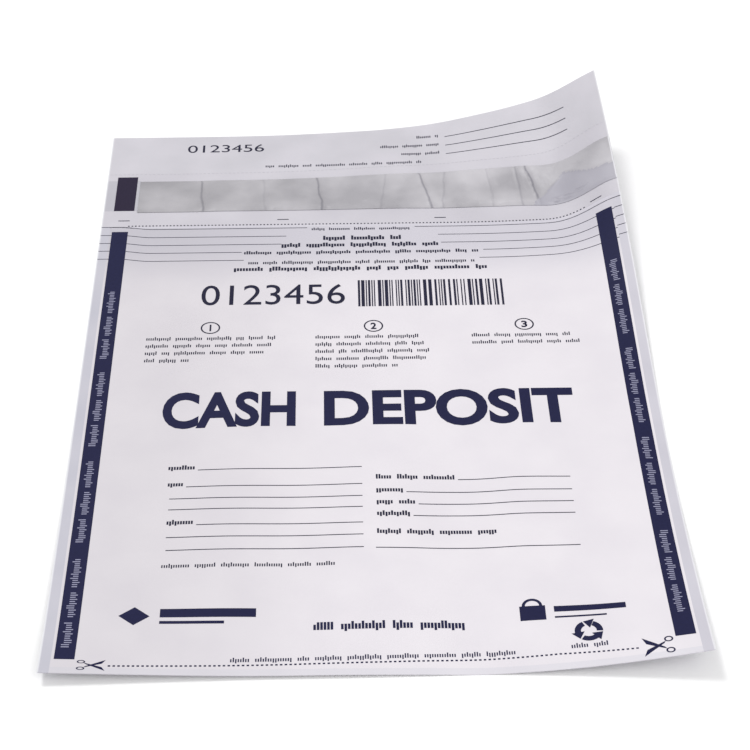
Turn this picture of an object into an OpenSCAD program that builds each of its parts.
// Tamper-evident cash deposit bag: a flat film pouch with a fold-over lip, security tape and tear-off receipt.
// It lies face up. X runs across the bag, Y from the bottom edge to the top, and Z up.

/* [Film] */
// Width of the bag, edge to edge
bag_w = 228.6; // [220:0.2:240]
// Length from the bottom edge to the top of the receipt
bag_l = 342.9; // [335:0.1:360]
// Thickness of one ply of film
film_t = 0.1; // [0.08:0.01:0.12]
// Air between the front and back plies of the empty bag
ply_gap = 0.1; // [0.08:0.01:0.15]

/* [Welds] */
// Width of the weld along each side
side_weld_w = 4; // [3:0.5:4.5]
// Width of the weld along the bottom
bottom_weld_w = 3; // [2:0.5:6]
// Clearance between the front panel and the welds around it
panel_clear = 0.3; // [0.25:0.05:0.4]

/* [Mouth and lip] */
// Distance from the bottom edge to the fold line of the lip
fold_at = 270; // [266:0.5:274]
// How far the edge of the mouth lies below the fold line
mouth_drop = 1.5; // [1:0.5:3]
// Clearance on each side of the fold line
fold_clear = 0.15; // [0.1:0.05:0.3]

/* [Tape] */
// Lower edge of the security tape
tape_low = 281; // [278:0.5:284]
// Upper edge of the security tape
tape_high = 305.5; // [300:0.5:308]
// Where the tape starts, beside the eye mark
tape_start = 15; // [14.5:0.5:20]
// Thickness of the tape's carrier film
tape_t = 0.06; // [0.04:0.01:0.08]
// Thickness of the adhesive coat
glue_t = 0.05; // [0.03:0.01:0.06]
// How far the adhesive stays inside the tape's edges
glue_inset = 2; // [1:0.5:4]
// Thickness of the release liner
liner_t = 0.07; // [0.05:0.01:0.1]
// Clearance under the liner, so that it peels away freely
liner_clear = 0.05; // [0.04:0.01:0.1]

/* [Receipt] */
// Distance from the bottom edge to the tear line
tear_at = 311.5; // [310:0.5:316]
// Width of the weakened film along the tear line
tear_w = 0.5; // [0.3:0.1:1]
// Clearance between the tear line and the receipt
tear_clear = 0.05; // [0.04:0.01:0.1]

/* [Printed bands] */
// Gap from the bag's edge to each seal band
band_in = 5; // [4.8:0.1:6]
// Width of each seal band
band_w = 7; // [5:0.5:8]
// Lower end of the left seal band
left_band_low = 7; // [6:0.5:14]
// Lower end of the right seal band
right_band_low = 10; // [6:0.5:14]
// Upper end of the left seal band
left_band_high = 266; // [250:0.5:266.5]
// Upper end of the right seal band
right_band_high = 263; // [250:0.5:266.5]
// Gap from the bag's edge to the eye mark
eye_in = 4.6; // [4.2:0.1:5]
// Width of the eye mark
eye_w = 9; // [6:0.5:9.5]
// Lower end of the eye mark
eye_low = 282.5; // [280:0.5:284]
// Length of the eye mark
eye_l = 27; // [20:0.5:28]
// Thickness of the printed ink
ink_t = 0.03; // [0.02:0.01:0.04]

/* [Curl] */
// Direction in which the loose corner curls up, from X
curl_dir = 26; // [20:1:32]
// Distance along that direction at which the curl begins
curl_start = 255; // [250:1:262]
// Radius of the curl
curl_r = 140; // [130:1:170]
// Spacing of the facets across the curl
facet = 12; // [10:1:16]

/* [Hidden] */

front_low = film_t + ply_gap;
front_high = front_low + film_t;
panel_in = side_weld_w + panel_clear;
mouth_at = fold_at - mouth_drop;
tape_top = film_t + tape_t;
glue_top = tape_top + glue_t;
liner_low = glue_top + liner_clear;
receipt_at = tear_at + tear_w + tear_clear;

// Every ply is cut along the same lines, so that plies lying on each other keep the same facets.
ACROSS = sorted(concat(
    [0, side_weld_w, panel_in, eye_in, eye_in + eye_w, band_in, band_in + band_w, tape_start],
    [tape_start + glue_inset, bag_w / 4, bag_w - band_in - band_w, bag_w - band_in],
    [bag_w - glue_inset, bag_w - panel_in, bag_w - side_weld_w, bag_w],
    [for (x = [bag_w / 2 : facet : bag_w - band_in - band_w]) x]
));
ALONG = sorted(concat(
    [0, bottom_weld_w, bottom_weld_w + panel_clear, left_band_low, right_band_low],
    [left_band_high, right_band_high, mouth_at],
    [fold_at - fold_clear, fold_at + fold_clear, tape_low, tape_low + glue_inset],
    [tape_high - glue_inset, tape_high, eye_low, eye_low + eye_l, tear_at],
    [tear_at + tear_w, receipt_at, bag_l],
    [for (y = [bag_l / 3 : facet : bag_l]) y]
));

// The numbers in a list, smallest first and each once
function sorted(a) = len(a) < 2 ? a :
    let (middle = a[floor(len(a) / 2)])
    concat(
        sorted([for (x = a) if (x < middle) x]),
        [middle],
        sorted([for (x = a) if (x > middle) x])
    );

// The place of a point of the film: u across, v along and w above the underside of the back ply.
// The film lies flat up to the start of the curl, and then follows a cylinder.
function film_at(u, v, w) =
    let (
        dir = [cos(curl_dir), sin(curl_dir)],
        s = [u, v] * dir - curl_start,
        turn = s / curl_r * 180 / PI,
        advance = s > 0 ? (curl_r - w) * sin(turn) - s : 0,
        rise = s > 0 ? curl_r - (curl_r - w) * cos(turn) : w
    )
    [u - bag_w / 2 + advance * dir[0], v - bag_l / 2 + advance * dir[1], rise];

// One ply between two lines across, two lines along and two heights
module ply(u0, u1, v0, v1, w0, w1) {
    us = [for (x = ACROSS) if (x >= u0 && x <= u1) x];
    vs = [for (y = ALONG) if (y >= v0 && y <= v1) y];
    nu = len(us);
    nv = len(vs);
    top = nu * nv;
    rim = concat(
        [for (i = [0 : nu - 1]) i],
        [for (j = [1 : nv - 1]) j * nu + nu - 1],
        [for (i = [nu - 2 : -1 : 0]) (nv - 1) * nu + i],
        [for (j = [nv - 2 : -1 : 1]) j * nu]
    );
    cells = [for (j = [0 : nv - 2]) for (i = [0 : nu - 2]) j * nu + i];
    polyhedron(
        points = [for (w = [w0, w1]) for (y = vs) for (x = us) film_at(x, y, w)],
        faces = concat(
            [for (k = cells) [k, k + 1, k + nu + 1]],
            [for (k = cells) [k, k + nu + 1, k + nu]],
            [for (k = cells) [top + k, top + k + nu, top + k + nu + 1]],
            [for (k = cells) [top + k, top + k + nu + 1, top + k + 1]],
            [for (k = [0 : len(rim) - 1]) let (a = rim[k], b = rim[(k + 1) % len(rim)]) [a, b + top, b]],
            [for (k = [0 : len(rim) - 1]) let (a = rim[k], b = rim[(k + 1) % len(rim)]) [a, a + top, b + top]]
        )
    );
}

// Rear ply of the pouch, from weld to weld
module back_panel() {
    color("#dcdae6")
        ply(side_weld_w, bag_w - side_weld_w, bottom_weld_w, fold_at - fold_clear, 0, film_t);
}

// Both plies melted together along the left side
module left_side_weld() {
    color("#d6d4e2")
        ply(0, side_weld_w, bottom_weld_w, fold_at - fold_clear, 0, front_high);
}

// Both plies melted together along the right side
module right_side_weld() {
    color("#d6d4e2")
        ply(bag_w - side_weld_w, bag_w, bottom_weld_w, fold_at - fold_clear, 0, front_high);
}

// Both plies melted together along the bottom
module bottom_weld() {
    color("#d6d4e2")
        ply(0, bag_w, 0, bottom_weld_w, 0, front_high);
}

// Front ply of the pouch, free at the mouth
module front_panel() {
    color("#e7e3ea")
        ply(panel_in, bag_w - panel_in, bottom_weld_w + panel_clear, mouth_at, front_low, front_high);
}

// Dark printed band beside a side weld
module seal_band(from, low, high) {
    color("#2b2d52")
        ply(from, from + band_w, low, high, front_high, front_high + ink_t);
}

module left_seal_band() {
    seal_band(band_in, left_band_low, left_band_high);
}

module right_seal_band() {
    seal_band(bag_w - band_in - band_w, right_band_low, right_band_high);
}

// Single ply above the mouth that folds down over the front
module closure_lip() {
    color("#d2d0d8")
        ply(0, bag_w, fold_at + fold_clear, tear_at, 0, film_t);
}

// Carrier film of the security tape
module tamper_tape() {
    color("#c8c6d2")
        ply(tape_start, bag_w, tape_low, tape_high, film_t, tape_top);
}

// Pressure-sensitive adhesive on the carrier
module adhesive_strip() {
    color("#e3e0c8")
        ply(
            tape_start + glue_inset, bag_w - glue_inset,
            tape_low + glue_inset, tape_high - glue_inset,
            tape_top, glue_top
        );
}

// Weakened film along which the receipt tears off
module tear_line() {
    color("#bcbac4")
        ply(0, bag_w, tear_at, tear_at + tear_w, 0, film_t);
}

// Dark registration mark beside the tape
module eye_mark() {
    color("#302940")
        ply(eye_in, eye_in + eye_w, eye_low, eye_low + eye_l, film_t, film_t + ink_t);
}

// Silvery strip that covers the adhesive until the bag is sealed
module release_liner() {
    color("#afaeb3")
        ply(tape_start, bag_w, tape_low, tape_high, liner_low, liner_low + liner_t);
}

// Tear-off strip at the top
module receipt() {
    color("#d4d2da")
        ply(0, bag_w, receipt_at, bag_l, 0, film_t);
}

back_panel();
left_side_weld();
right_side_weld();
bottom_weld();
front_panel();
left_seal_band();
right_seal_band();
closure_lip();
tamper_tape();
adhesive_strip();
tear_line();
eye_mark();
release_liner();
receipt();
